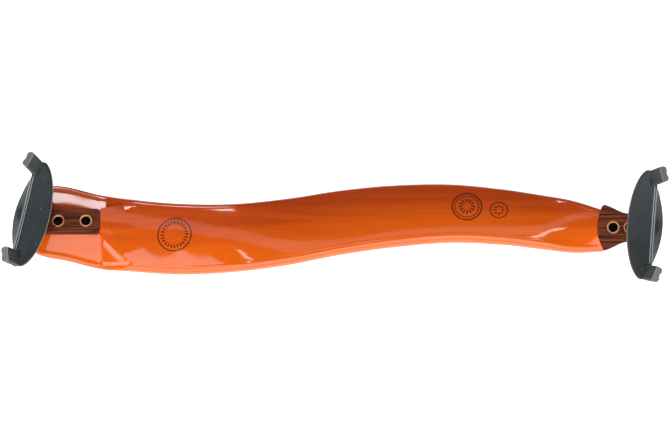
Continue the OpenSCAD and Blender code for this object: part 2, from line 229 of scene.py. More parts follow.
def prism(name, outline, low, high):
    """Solid between two heights over a flat outline."""
    return loft(name, [[(x, y, z) for x, y in outline] for z in (low, high)])


def block(name, low, high):
    """Box between two corners, as a tool or a raw part of a moulding."""
    (x0, y0, z0), (x1, y1, z1) = low, high
    return prism(name, [(x0, y0), (x1, y0), (x1, y1), (x0, y1)], z0, z1)


def arc(centre, radius, start, end, steps):
    """Points of an arc, from one angle to another in degrees."""
    turns = [math.radians(lerp(start, end, i / steps)) for i in range(steps + 1)]
    return [(centre[0] + radius * math.cos(t), centre[1] + radius * math.sin(t)) for t in turns]


def round_bar(name, radius, low, high, steps=64):
    """Cylinder round Z between two heights."""
    return prism(name, arc((0, 0), radius, 0, 360 * (steps - 1) / steps, steps - 1), low, high)


def face_outward(piece):
    """Turns all the faces so that their normals point out of the solid."""
    work = bmesh.new()
    work.from_mesh(piece.data)
    bmesh.ops.recalc_face_normals(work, faces=work.faces)
    work.to_mesh(piece.data)
    work.free()


def settle(piece):
    """Applies the piece's modifiers to its mesh."""
    depsgraph = bpy.context.evaluated_depsgraph_get()
    mesh = bpy.data.meshes.new_from_object(piece.evaluated_get(depsgraph))
    old = piece.data
    piece.modifiers.clear()
    piece.data = mesh
    mesh.name = piece.name
    bpy.data.meshes.remove(old)


def combine(piece, tool, operation="DIFFERENCE"):
    """Cuts the tool out of the piece, or adds it, and removes the tool."""
    change = piece.modifiers.new(operation.lower(), "BOOLEAN")
    change.operation = operation
    change.solver = "EXACT"
    change.object = tool
    settle(piece)
    bpy.data.objects.remove(tool)


def bevel(piece, width, steps=3, limit=30):
    """Rounds the edges that are sharper than the limit in degrees."""
    change = piece.modifiers.new("bevel", "BEVEL")
    change.width = width
    change.segments = steps
    change.limit_method = "ANGLE"
    change.angle_limit = math.radians(limit)
    settle(piece)


def mould(piece, voxel, rounds):
    """Melts overlapping solids into one moulding with soft inner corners."""
    remesh = piece.modifiers.new("remesh", "REMESH")
    remesh.mode = "VOXEL"
    remesh.voxel_size = voxel
    relax = piece.modifiers.new("relax", "SMOOTH")
    relax.factor = 0.5
    relax.iterations = rounds
    settle(piece)


def mark_points(piece, name, value):
    """Stores a number on every point of the piece."""
    layer = piece.data.attributes.new(name, "FLOAT", "POINT")
    for vertex in piece.data.vertices:
        layer.data[vertex.index].value = value(vertex.co)


def mark_edges(piece, reach=2.2):
    """Stores how far each point stands out from its neighbours, as the mask of a painted edge highlight: 0 on
    flat stretches, 1 on sharp edges.
    """
    mesh = piece.data
    sums = [0.0] * len(mesh.vertices)
    counts = [0] * len(mesh.vertices)
    points = [vertex.co.copy() for vertex in mesh.vertices]
    normals = [Vector(normal.vector) for normal in mesh.vertex_normals]
    for edge in mesh.edges:
        a, b = edge.vertices
        step = points[b] - points[a]
        size = max(step.length, 1e-6)
        sums[a] -= normals[a].dot(step) / size
        sums[b] += normals[b].dot(step) / size
        counts[a] += 1
        counts[b] += 1
    painted_highlight = mesh.attributes.new("painted_highlight_mask", "FLOAT", "POINT")
    for i, total in enumerate(sums):
        painted_highlight.data[i].value = clamp(reach * (total / max(counts[i], 1)) - 0.08, 0.0, 1.0)


def join(name, pieces):
    """One object that holds the meshes of several, which are removed."""
    work = bmesh.new()
    for piece in pieces:
        work.from_mesh(piece.data)
    mesh = bpy.data.meshes.new(name)
    work.to_mesh(mesh)
    work.free()
    for piece in pieces:
        bpy.data.objects.remove(piece)
    return new_object(name, mesh)


def move(piece, matrix):
    """Moves the piece's mesh and returns the piece."""
    piece.data.transform(matrix)
    return piece


def finish_piece(piece, node, body, material, sharp=35):
    """Brings a piece into metres, shades it, paints it and puts it in its CAD node's place on its body."""
    piece.data.transform(Matrix.Scale(MM, 4))
    work = bmesh.new()
    work.from_mesh(piece.data)
    for face in work.faces:
        face.smooth = True
        face.material_index = 0
    for edge in work.edges:
        edge.smooth = len(edge.link_faces) == 2 and edge.calc_face_angle(0.0) < math.radians(sharp)
    work.to_mesh(piece.data)
    work.free()
    piece.data.materials.clear()
    piece.data.materials.append(material)
    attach(piece, body)
    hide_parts(node)
    return piece


# ---------- material helpers ----------

def add(tree, kind, settings=None, **inputs):
    """Adds a node, sets its properties, and sets or links its inputs by name."""
    node = tree.nodes.new(kind)
    for name, value in (settings or {}).items():
        setattr(node, name, value)
    for name, value in inputs.items():
        socket = node.inputs[name.replace("_", " ")]
        if isinstance(value, bpy.types.NodeSocket):
            tree.links.new(value, socket)
        else:
            socket.default_value = value
    return node


def calc(tree, operation, first, second=0.0, clamped=False):
    """Adds a Math node and returns its value."""
    node = tree.nodes.new("ShaderNodeMath")
    node.operation = operation
    node.use_clamp = clamped
    for socket, value in zip(node.inputs, (first, second)):
        if isinstance(value, bpy.types.NodeSocket):
            tree.links.new(value, socket)
        else:
            socket.default_value = value
    return node.outputs[0]


def spread(tree, value, low, high, to_low=0.0, to_high=1.0):
    """Maps a value's range to another one, with soft ends."""
    node = add(tree, "ShaderNodeMapRange", {"interpolation_type": "SMOOTHSTEP"}, Value=value, From_Min=low,
               From_Max=high, To_Min=to_low, To_Max=to_high)
    return node.outputs[0]


def blend_colours(tree, share, first, second):
    """Mixes two colours, each a socket or a colour, by a share."""
    node = tree.nodes.new("ShaderNodeMix")
    node.data_type = "RGBA"
    for socket, value in ((node.inputs[0], share), (node.inputs[6], first), (node.inputs[7], second)):
        if isinstance(value, bpy.types.NodeSocket):
            tree.links.new(value, socket)
        elif isinstance(value, float):
            socket.default_value = value
        else:
            socket.default_value = (*value, 1.0)
    return node.outputs[2]


def new_group(name, inputs, outputs):
    """Empty node group with float inputs and their defaults, and float outputs."""
    tree = bpy.data.node_groups.new(name, "ShaderNodeTree")
    for label, value in inputs:
        tree.interface.new_socket(label, in_out="INPUT", socket_type="NodeSocketFloat").default_value = value
    for label in outputs:
        tree.interface.new_socket(label, in_out="OUTPUT", socket_type="NodeSocketFloat")
    return tree, tree.nodes.new("NodeGroupInput").outputs, tree.nodes.new("NodeGroupOutput").inputs


def stretched_place(tree, along, across, upright):
    """Coordinates of the piece in metres, scaled along X, Y and Z."""
    place = add(tree, "ShaderNodeTexCoord").outputs["Object"]
    return add(tree, "ShaderNodeMapping", Vector=place, Scale=(along, across, upright)).outputs[0]


def wood_grain_group():
    """Long streaks and short dark pores that run along X."""
    tree, given, result = new_group("wood_grain", [("Streak size", 1.0), ("Contrast", 1.0)],
                                    ["Streaks", "Pores", "Height"])
    place = stretched_place(tree, 14.0, 420.0, 420.0)
    scaled = add(tree, "ShaderNodeVectorMath", {"operation": "SCALE"}, Vector=place)
    tree.links.new(calc(tree, "DIVIDE", 1.0, given["Streak size"]), scaled.inputs["Scale"])
    noise = add(tree, "ShaderNodeTexNoise", Vector=scaled.outputs[0], Scale=1.0, Detail=5.0, Roughness=0.6,
                Distortion=0.4)
    streaks = spread(tree, noise.outputs[0], 0.3, 0.72)
    middle = calc(tree, "SUBTRACT", streaks, 0.5)
    contrast = calc(tree, "ADD", calc(tree, "MULTIPLY", middle, given["Contrast"]), 0.5, True)
    tree.links.new(contrast, result["Streaks"])
    fine = add(tree, "ShaderNodeTexNoise", Vector=stretched_place(tree, 260.0, 3600.0, 3600.0), Scale=1.0,
               Detail=2.0)
    pores = spread(tree, fine.outputs[0], 0.6, 0.72)
    tree.links.new(pores, result["Pores"])
    height = calc(tree, "SUBTRACT", calc(tree, "MULTIPLY", streaks, 0.3), pores)
    tree.links.new(height, result["Height"])
    return tree


def dust_group():
    """Small pale specks and a faint mottle."""
    tree, given, result = new_group("dust", [("Amount", 1.0)], ["Specks", "Mottle"])
    place = stretched_place(tree, 1.0, 1.0, 1.0)
    cells = add(tree, "ShaderNodeTexVoronoi", Vector=place, Scale=900.0, Randomness=1.0)
    chosen = add(tree, "ShaderNodeSeparateColor", Color=cells.outputs["Color"])
    rare = calc(tree, "GREATER_THAN", chosen.outputs[0], 0.9)
    near = spread(tree, cells.outputs["Distance"], 0.16, 0.08)
    specks = calc(tree, "MULTIPLY", calc(tree, "MULTIPLY", rare, near), given["Amount"], True)
    tree.links.new(specks, result["Specks"])
    mottle = add(tree, "ShaderNodeTexNoise", Vector=place, Scale=260.0, Detail=4.0)
    tree.links.new(mottle.outputs[0], result["Mottle"])
    return tree


def tarnish_group():
    """Blotches and fine scratches of handled metal."""
    tree, given, result = new_group("tarnish", [("Blotch size", 1.0)], ["Blotches", "Scratches"])
    place = stretched_place(tree, 500.0, 500.0, 500.0)
    scaled = add(tree, "ShaderNodeVectorMath", {"operation": "SCALE"}, Vector=place)
    tree.links.new(calc(tree, "DIVIDE", 1.0, given["Blotch size"]), scaled.inputs["Scale"])
    blotches = add(tree, "ShaderNodeTexNoise", Vector=scaled.outputs[0], Scale=1.0, Detail=4.0)
    tree.links.new(spread(tree, blotches.outputs[0], 0.35, 0.7), result["Blotches"])
    lines = add(tree, "ShaderNodeTexNoise", Vector=stretched_place(tree, 900.0, 900.0, 9000.0), Scale=1.0)
    tree.links.new(lines.outputs[0], result["Scratches"])
    return tree


def group(name):
    """The node group of that name, built when it is first asked for."""
    makers = {"wood_grain": wood_grain_group, "dust": dust_group, "tarnish": tarnish_group}
    return bpy.data.node_groups.get(name) or makers[name]()


def new_material(name):
    """Material with a Principled shader; returns the material, its tree and the shader."""
    material = bpy.data.materials.new(name)
    material.use_nodes = True
    tree = material.node_tree
    return material, tree, tree.nodes["Principled BSDF"]


def stored(tree, name):
    """The number that mark_points or mark_edges stored on the piece."""
    return add(tree, "ShaderNodeAttribute", {"attribute_name": name}).outputs["Fac"]


def painted_highlight_edges(tree, low, high):
    """Mask of the piece's outer edges, where a highlight is painted."""
    return spread(tree, stored(tree, "painted_highlight_mask"), low, high)


def set_inputs(shader, **values):
    """Sets inputs of the shader by name, with _ for a space."""
    for name, value in values.items():
        shader.inputs[name.replace("_", " ")].default_value = value


def add_bump(tree, shader, height, distance, strength=1.0):
    """Roughens the shader's surface with a height pattern."""
    node = add(tree, "ShaderNodeBump", Height=height, Strength=strength, Distance=distance)
    tree.links.new(node.outputs[0], shader.inputs["Normal"])


def burned_ring(tree, centre, radius, width, ticks=0):
    """Mask of a ring burned into the wood, or of a ring of short ticks."""
    place = add(tree, "ShaderNodeTexCoord").outputs["Object"]
    axes = add(tree, "ShaderNodeSeparateXYZ", Vector=place)
    dx = calc(tree, "SUBTRACT", axes.outputs[0], centre[0] * MM)
    dy = calc(tree, "SUBTRACT", axes.outputs[1], centre[1] * MM)
    squares = calc(tree, "ADD", calc(tree, "MULTIPLY", dx, dx), calc(tree, "MULTIPLY", dy, dy))
    reach = calc(tree, "SQRT", squares)
    off = calc(tree, "ABSOLUTE", calc(tree, "SUBTRACT", reach, radius * MM))
    mask = spread(tree, off, width * MM * 0.6, width * MM * 0.4)
    above = calc(tree, "GREATER_THAN", axes.outputs[2], BoardShape.MARK_FLOOR * MM)
    mask = calc(tree, "MULTIPLY", mask, above)
    if ticks:
        wave = calc(tree, "COSINE", calc(tree, "MULTIPLY", calc(tree, "ARCTAN2", dy, dx), float(ticks)))
        mask = calc(tree, "MULTIPLY", mask, spread(tree, wave, -0.2, 0.2))
    return mask


def lacquered_maple(settings, shape):
    """Amber gloss lacquer over maple with faint long grain, three burned rings, painted light towards the front
    edge and painted shade towards the back edge.
    """
    material, tree, shader = new_material("lacquered_maple")
    grain = add(tree, "ShaderNodeGroup", {"node_tree": group("wood_grain")}, Streak_size=1.6, Contrast=0.9)
    base = blend_colours(tree, grain.outputs["Streaks"], settings.lacquer_dark, settings.lacquer)
    fine = calc(tree, "MULTIPLY", grain.outputs["Pores"], 0.2)
    base = blend_colours(tree, fine, base, settings.lacquer_dark)
    # Painted light towards the front edge and painted shade towards the back edge, set by the share across the
    # board.
    across = stored(tree, "across")
    front = spread(tree, across, 0.75, 0.0)
    base = blend_colours(tree, calc(tree, "MULTIPLY", front, 0.8), base, settings.lacquer_front_painted_light)
    back = spread(tree, across, 0.45, 1.0)
    base = blend_colours(tree, calc(tree, "MULTIPLY", back, 0.7), base, settings.lacquer_back_painted_shade)
    burned = None
    for x, side, radius, width, ticks in shape.marks():
        y = shape.place(x, side, shape.top(x, side))[1]
        ring = burned_ring(tree, (x, y), radius, width, ticks)
        burned = ring if burned is None else calc(tree, "MAXIMUM", burned, ring)
    base = blend_colours(tree, calc(tree, "MULTIPLY", burned, 0.85), base, settings.burn)
    tree.links.new(base, shader.inputs["Base Color"])
    set_inputs(shader, Roughness=0.5, Specular_IOR_Level=0.0, Coat_Weight=1.0, Coat_Roughness=0.07,
               Coat_IOR=1.5)
    ripple = add(tree, "ShaderNodeTexNoise", Vector=stretched_place(tree, 500.0, 1100.0, 1100.0), Scale=1.0,
                 Detail=1.0)
    height = calc(tree, "ADD", ripple.outputs[0], calc(tree, "MULTIPLY", grain.outputs["Height"], 0.3))
    add_bump(tree, shader, height, 0.000022, 1.0)
    return material


def oiled_rosewood(settings):
    """Dark rosewood with streaks and open pores, and painted shade, near black, deep in its holes."""
    material, tree, shader = new_material("oiled_rosewood")
    grain = add(tree, "ShaderNodeGroup", {"node_tree": group("wood_grain")}, Streak_size=0.3, Contrast=1.5)
    base = blend_colours(tree, grain.outputs["Streaks"], settings.rosewood_dark, settings.rosewood)
    pores = calc(tree, "MULTIPLY", grain.outputs["Pores"], 0.8)
    base = blend_colours(tree, pores, base, settings.rosewood_dark)
    # Painted shade: near black deep in the tongue's holes.
    base = blend_colours(tree, stored(tree, "depth"), base, PAINTED_SHADE_BLACK)
    tree.links.new(base, shader.inputs["Base Color"])
    tree.links.new(spread(tree, grain.outputs["Streaks"], 0.0, 1.0, 0.65, 0.55), shader.inputs["Roughness"])
    set_inputs(shader, Specular_IOR_Level=0.12)
    add_bump(tree, shader, grain.outputs["Height"], 0.00002, 0.6)
    return material


def handled_metal(name, base, rough, dark_share):
    """Metal with darker blotches and fine scratches, and painted shade, near black, where a stored depth marks
    the inside of a bore.
    """
    material, tree, shader = new_material(name)
    marks = add(tree, "ShaderNodeGroup", {"node_tree": group("tarnish")}, Blotch_size=1.0)
    dark = [part * 0.45 for part in base]
    share = calc(tree, "MULTIPLY", marks.outputs["Blotches"], dark_share)
    blotched = blend_colours(tree, share, base, dark)
    # Painted shade: near black down inside a bore.
    shaded = blend_colours(tree, stored(tree, "depth"), blotched, PAINTED_SHADE_BLACK)
    tree.links.new(shaded, shader.inputs["Base Color"])
    set_inputs(shader, Metallic=1.0)
    dulled = spread(tree, marks.outputs["Blotches"], 0.0, 1.0, rough, rough + 0.16)
    tree.links.new(dulled, shader.inputs["Roughness"])
    add_bump(tree, shader, marks.outputs["Scratches"], 0.000008, 0.4)
    return material


def moulded_plastic(settings):
    """Dark satin plastic with a little dust on it, and a painted highlight on the lip and along the curved rim.
    """
    material, tree, shader = new_material("moulded_plastic")
    dust = add(tree, "ShaderNodeGroup", {"node_tree": group("dust")}, Amount=0.6)
    pale = [min(1.0, part * 1.25 + 0.006) for part in settings.plastic]
    base = blend_colours(tree, dust.outputs["Mottle"], settings.plastic, pale)
    # Painted highlight on the edges of the lip and along the curved rim.
    base = blend_colours(tree, painted_highlight_edges(tree, 0.0, 1.0), base, settings.painted_edge_highlight)
    base = blend_colours(tree, dust.outputs["Specks"], base, srgb(178, 182, 184))
    tree.links.new(base, shader.inputs["Base Color"])
    tree.links.new(spread(tree, dust.outputs["Mottle"], 0.3, 0.7, 0.42, 0.52), shader.inputs["Roughness"])
    set_inputs(shader, Specular_IOR_Level=0.22)
    add_bump(tree, shader, dust.outputs["Mottle"], 0.00001, 0.25)
    return material


def boot_rubber(settings):
    """Matte grey rubber with a fine mottle, painted light on the upper ends and a painted highlight along the
    edges.
    """
    material, tree, shader = new_material("boot_rubber")
    dust = add(tree, "ShaderNodeGroup", {"node_tree": group("dust")}, Amount=0.8)
    pale = [min(1.0, part * 1.5 + 0.01) for part in settings.rubber]
    base = blend_colours(tree, dust.outputs["Mottle"], settings.rubber, pale)
    # Painted light on the boots' upper ends, and a painted highlight along their edges.
    base = blend_colours(tree, stored(tree, "tip"), base, settings.rubber_tip_painted_light)
    base = blend_colours(tree, painted_highlight_edges(tree, 0.04, 0.2), base, settings.painted_edge_highlight)
    base = blend_colours(tree, dust.outputs["Specks"], base, srgb(196, 200, 200))
    tree.links.new(base, shader.inputs["Base Color"])
    set_inputs(shader, Roughness=0.6, Specular_IOR_Level=0.2)
    add_bump(tree, shader, dust.outputs["Mottle"], 0.00003, 0.5)
    return material


def pad_foam(settings):
    """Dense foam rubber with open cells."""
    material, tree, shader = new_material("pad_foam")
    place = stretched_place(tree, 1.0, 1.0, 1.0)
    cells = add(tree, "ShaderNodeTexVoronoi", Vector=place, Scale=1500.0, Randomness=1.0)
    pits = spread(tree, cells.outputs["Distance"], 0.1, 0.6)
    cloud = add(tree, "ShaderNodeTexNoise", Vector=place, Scale=90.0, Detail=4.0)
    dark = [part * 0.45 for part in settings.foam]
    base = blend_colours(tree, pits, dark, settings.foam)
    pale = [min(1.0, part * 1.7) for part in settings.foam]
    base = blend_colours(tree, calc(tree, "MULTIPLY", cloud.outputs[0], 0.5), base, pale)
    tree.links.new(base, shader.inputs["Base Color"])
    set_inputs(shader, Roughness=0.9, Sheen_Weight=0.25)
    add_bump(tree, shader, pits, 0.0002, 0.7)
    return material


# ---------- board ----------

class BoardShape:
    """Centre line and cross-sections of the maple board, in millimetres.

    STATION holds shares of the board's length. SWING, WAVE, WIDTH and ROLL hold the outline's swing to the
    back, the rise, the width and the roll there, as shares of plan_swing, wave_h, board_w and belly_roll.
    """

    STATION = (0, 0.07, 0.14, 0.20, 0.28, 0.37, 0.46, 0.55, 0.64, 0.74, 0.83, 0.90, 0.95, 1)
    SWING = (0.6, 0.53, -0.13, -0.5, -0.87, -0.9, -0.42, 0.34, 0.85, 1.07, 0.8, 0.38, 0.04, -0.27)
    WAVE = (0, 0, 0, 0.12, 0.75, 1.3, 1.1, 0.6, 0.3, 0.22, 0.3, 0.42, 0.52, 0.6)
    WIDTH = (0.98, 1, 1, 0.97, 0.95, 0.93, 0.945, 0.935, 0.90, 0.845, 0.8, 0.76, 0.7, 0.55)
    ROLL = (0, 0, 0, 0, 0, 0.33, 0.8, 1.0, 1.0, 1.0, 0.95, 0.7, 0.05, -0.6)
    TIP_ROUND = 15
    TIP_START = 0.25
    TIP_POWER = 2.4
    EDGE_POWER = 0.8
    STEP_WIDTH = 0.45
    STEP_RUN = 13
    PADDLE_SLOPE = 0.12
    ARM_END = 4
    BAR_SINK = 0.2
    BAR_RUN = 29.4
    STEP_BACK = 43.4
    STEP_FRONT = 41.6
    BACK_REACH = 7.4
    FRONT_REACH = 17.6
    ARM_INSET = 1.0
    GLUE = 0.03
    MARK_FLOOR = 7.0
    POST_HOLE_R = 2.1

    def __init__(self, settings):
        for name in ("board_len", "board_w", "board_t", "crown", "edge_r", "plan_swing", "wave_h", "paddle_drop",
                     "pad_t", "pad_inset"):
            setattr(self, name, getattr(settings, name) / MM)
        self.belly_roll = settings.belly_roll
        low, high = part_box("left_plate")
        self.bar_low = Vector(low) / MM
        self.bar_high = Vector(high) / MM
        self.tip_x = self.bar_high.x - self.BAR_RUN
        self.end_x = self.tip_x + self.board_len
        self.bar_y = (self.bar_low.y + self.bar_high.y) / 2
        self.bar_half = (self.bar_high.y - self.bar_low.y) / 2
        self.deck_z = self.bar_high.z + self.BAR_SINK

    def along(self, values, x):
        """Smooth value of a station list at the place x along the board."""
        share = clamp((x - self.tip_x) / self.board_len, 0.0, 1.0)
        station = self.STATION
        i = max(k for k in range(len(station) - 1) if k == 0 or share >= station[k])
        step = station[i + 1] - station[i]
        f = (share - station[i]) / step

        def tangent(k):
            a, b = max(k - 1, 0), min(k + 1, len(values) - 1)
            return (values[b] - values[a]) / (station[b] - station[a])

        return ((2 * f ** 3 - 3 * f ** 2 + 1) * values[i] + (f ** 3 - 2 * f ** 2 + f) * step * tangent(i)
                + (3 * f ** 2 - 2 * f ** 3) * values[i + 1] + (f ** 3 - f ** 2) * step * tangent(i + 1))

    def centre_y(self, x):
        return self.plan_swing * self.along(self.SWING, x)

    def centre_z(self, x):
        return self.deck_z - self.board_t / 2 + self.wave_h * self.along(self.WAVE, x)

    def tip_share(self, x):
        return clamp((self.tip_x + self.TIP_ROUND - x) / self.TIP_ROUND, 0.0, 1.0)

    def half_width(self, x):
        """Half of the board's width at x, rounded off towards the tip."""
        tip = (1 - self.tip_share(x) ** self.TIP_POWER) ** (1 / self.TIP_POWER)
        return self.board_w / 2 * self.along(self.WIDTH, x) * tip

    def place(self, x, a, b):
        """Point of the rolled cross-section at x, a across it and b above its middle."""
        roll = self.belly_roll * self.along(self.ROLL, x)
        return Vector((x, self.centre_y(x) + a * math.cos(roll) + b * math.sin(roll),
                       self.centre_z(x) - a * math.sin(roll) + b * math.cos(roll)))

    def edge(self, x):
        return min(self.edge_r, self.half_width(x) * 0.55)

    def flat(self, x):
        return self.half_width(x) - self.edge(x)

    def low(self, x):
        return self.board_t / 2 - self.board_t * (1 - 0.25 * self.tip_share(x) ** 3)

    def top(self, x, a):
        return self.board_t / 2 - self.crown * (a / max(self.half_width(x), 1)) ** 2

    def step_at(self, x, side):
        """Place across the board of the V-shaped step between paddle and deck."""
        bar_end = self.bar_high.x
        arm = self.bar_half - self.ARM_INSET
        far_x, far = (self.STEP_BACK, self.BACK_REACH) if side > 0 else (self.STEP_FRONT, self.FRONT_REACH)
        share = (x - bar_end) / (self.tip_x + far_x - bar_end)
        reach = arm if x < bar_end else lerp(self.bar_half, far, share)
        shift = self.bar_y - self.centre_y(x)
        room = self.flat(x) - 2 * self.STEP_WIDTH
        if side > 0:
            return clamp(shift + reach, 1 - room, room)
        return clamp(shift - reach, -room, room - 1)

    def fall(self, x, past):
        """How far the upper face lies below the deck at that distance past the step."""
        fade = 1 - ease((x - self.bar_high.x) / self.STEP_RUN)
        return fade * (self.paddle_drop + self.PADDLE_SLOPE * past)

    def top_side(self, x, side):
        """Upper face from the step's foot to the rounded edge."""
        start = self.step_at(x, side)
        foot = start + side * self.STEP_WIDTH
        steps = 12
        riser = []
        for i in range(1, 5):
            a = lerp(start, foot, i / 5)
            riser.append((a, self.top(x, a) - self.fall(x, 0) * ease(i / 5)))
        face = []
        for i in range(steps + 1):
            a = lerp(foot, side * self.flat(x), i / steps)
            face.append((a, self.top(x, a) - self.fall(x, abs(a - start))))
        return riser + face

    def rim(self, x, side, top):
        """Rounded long edge from the upper face to the lower one."""
        flat, radius, low = self.flat(x), self.edge(x), self.low(x)
        middle, half = (top + low) / 2, (top - low) / 2
        steps = 18
        points = []
        for i in range(1, steps):
            turn = math.pi / 2 - math.pi * i / steps
            out = max(math.cos(turn), 0) ** self.EDGE_POWER
            up = math.copysign(abs(math.sin(turn)) ** self.EDGE_POWER, math.sin(turn))
            points.append((side * (flat + radius * out), middle + half * up))
        return points

    def section(self, x):
        """Closed cross-section as (across, up) pairs."""
        back, front = self.top_side(x, 1), self.top_side(x, -1)
        inner, outer = self.step_at(x, -1), self.step_at(x, 1)
        arm_fall = self.paddle_drop if x < self.bar_high.x - self.ARM_END else 0.0
        across = [lerp(inner, outer, i / 8) for i in range(9)]
        deck = [(a, self.top(x, a) - arm_fall) for a in across]
        below = [(self.flat(x) * (1 - i / 5), self.low(x)) for i in range(11)]
        return (front[::-1] + deck + back + self.rim(x, 1, back[-1][1]) + below
                + self.rim(x, -1, front[-1][1])[::-1])

    def stations(self):
        """Places of the cross-sections, closest together at the rounded tip."""
        tip_rows, rows = 26, 240
        run = self.TIP_ROUND - self.TIP_START
        tip = [self.tip_x + self.TIP_START + run * (i / tip_rows) ** 2 for i in range(tip_rows + 1)]
        return tip + [lerp(self.tip_x + self.TIP_ROUND, self.end_x, i / rows) for i in range(1, rows + 1)]

    def marks(self):
        """Burned rings: place along and across the board, radius, line width and number of ticks."""
        return ((-57.9, 0.8, 6.0, 0.5, 0), (-57.9, 0.8, 4.4, 1.2, 24), (47.1, 1.2, 5.3, 0.55, 0),
                (47.1, 1.2, 4.3, 0.35, 0), (47.1, 1.2, 2.2, 1.4, 12), (58.6, 0.8, 3.1, 0.42, 0),
                (58.6, 0.8, 1.5, 0.9, 8))

    def bar_outline(self, grow):
        """Outline of the rosewood bar with a round outer end, larger by grow on every side."""
        x0, x1 = self.bar_low.x - grow, self.bar_high.x + grow
        half = self.bar_half + grow
        corner = 1.6
        tail = half - 0.4
        points = arc((x1 - corner, self.bar_y - half + corner), corner, -90, 0, 8)
        points += arc((x1 - corner, self.bar_y + half - corner), corner, 0, 90, 8)
        points += [(max(x, x0), y) for x, y in arc((x0 + tail, self.bar_y), half, 90, 270, 32)]
        return points


class TongueShape:
    """Rosewood tongue in its own frame: X along it from the board's end, Z square to its upper face."""

    NECK_START = 1.5
    NECK_END = 11
    WIDE = 16.4
    NARROW = 10.0
    THICK = 5.0
    JOINT_R = 17.0
    JOINT_X = -2.1
    TENON = (9.0, 8.0, 2.4)
    FLOOR = 0.6

    def __init__(self, shape):
        turn = joints["right_turn"]
        self.axis = Vector(turn["axis"]).normalized()
        post = Vector(turn["pos_m"]) / MM
        self.post_x = post.x - shape.end_x
        self.roll = math.atan2(-self.axis.y, self.axis.z)
        self.frame = Matrix.Translation(post - Vector((self.post_x, 0, 0))) @ Matrix.Rotation(self.roll, 4, "X")
        self.hole_xs = [cad_centre(node).x - shape.end_x for node in INSERTS["right"]]

    def half(self, x):
        """Half of the tongue's width at x."""
        share = ease((x - self.NECK_START + 2) / (self.NECK_END - self.NECK_START))
        return lerp(self.WIDE, self.NARROW, share) / 2

    def outline(self):
        """Outline with a hollow joint towards the board, a neck and a round outer end."""
        centre = self.JOINT_X + self.JOINT_R
        reach = self.half(0)
        end = math.degrees(math.asin(reach / self.JOINT_R))
        points = arc((centre, 0), self.JOINT_R, 180 + end, 180 - end, 40)
        xs = [lerp(0.35, self.post_x, i / 24) for i in range(25)]
        points += [(x, self.half(x)) for x in xs]
        points += arc((self.post_x, 0), self.NARROW / 2, 90, -90, 32)[1:-1]
        return points + [(x, -self.half(x)) for x in xs[::-1]]

    def tenon(self, gap):
        """The tenon that sits in the board, larger by gap on every side."""
        long, wide, thick = self.TENON
        low = (self.JOINT_X - long - gap, -wide / 2 - gap, -(self.THICK + thick) / 2 - gap)
        return block("tenon", low, (self.JOINT_X + 4, wide / 2 + gap, (thick - self.THICK) / 2 + gap))


def build_board(context):
    """Maple board with a pocket for the bar, holes for inserts and posts, and a seat for the tongue."""
    settings = context.scene.shoulder_rest_board
    shape = BoardShape(settings)
    tongue = TongueShape(shape)
    board = loft("maple_board", [[shape.place(x, a, b) for a, b in shape.section(x)] for x in shape.stations()])
    floor_z = shape.bar_low.z - shape.GLUE
    rim_z = shape.deck_z
    rim_bevel = 0.3
    pocket = [(floor_z, shape.GLUE), (rim_z - 0.22, shape.GLUE), (rim_z + 0.06, rim_bevel),
              (rim_z + 4, rim_bevel)]
    combine(board, loft("pocket", [[(x, y, z) for x, y in shape.bar_outline(grow)] for z, grow in pocket]))
    insert_r = context.scene.shoulder_rest_legs.insert_d / MM / 2 + shape.GLUE
    for node in INSERTS["left"]:
        low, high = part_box(node)
        place = Matrix.Translation((cad_centre(node).x, shape.bar_y, 0))
        combine(board, move(round_bar("hole", insert_r, low[2] / MM - shape.GLUE, high[2] / MM), place))
        combine(board, move(round_bar("post_hole", shape.POST_HOLE_R, -5, low[2] / MM + 0.5), place))
    radius = tongue.JOINT_R + shape.GLUE
    wide = radius + 0.45
    turns = [math.radians(2 * i) for i in range(180)]
    middle = tongue.JOINT_X + tongue.JOINT_R
    end = loft("end_cut", [[(middle + r * math.cos(t), r * math.sin(t), z) for t in turns]
                           for z, r in ((-30, radius), (0.02, radius), (0.5, wide), (20, wide))])
    combine(board, move(end, tongue.frame))
    combine(board, move(tongue.tenon(shape.GLUE), tongue.frame))
    # Share across the board, which places the painted light at the front edge and the painted shade at the back
    # edge.
    mark_points(board, "across",
                lambda p: 0.5 + 0.5 * (p.y - shape.centre_y(p.x)) / max(shape.half_width(p.x), 1.0))
    finish_piece(board, "maple_body", "board", lacquered_maple(settings, shape), sharp=28)


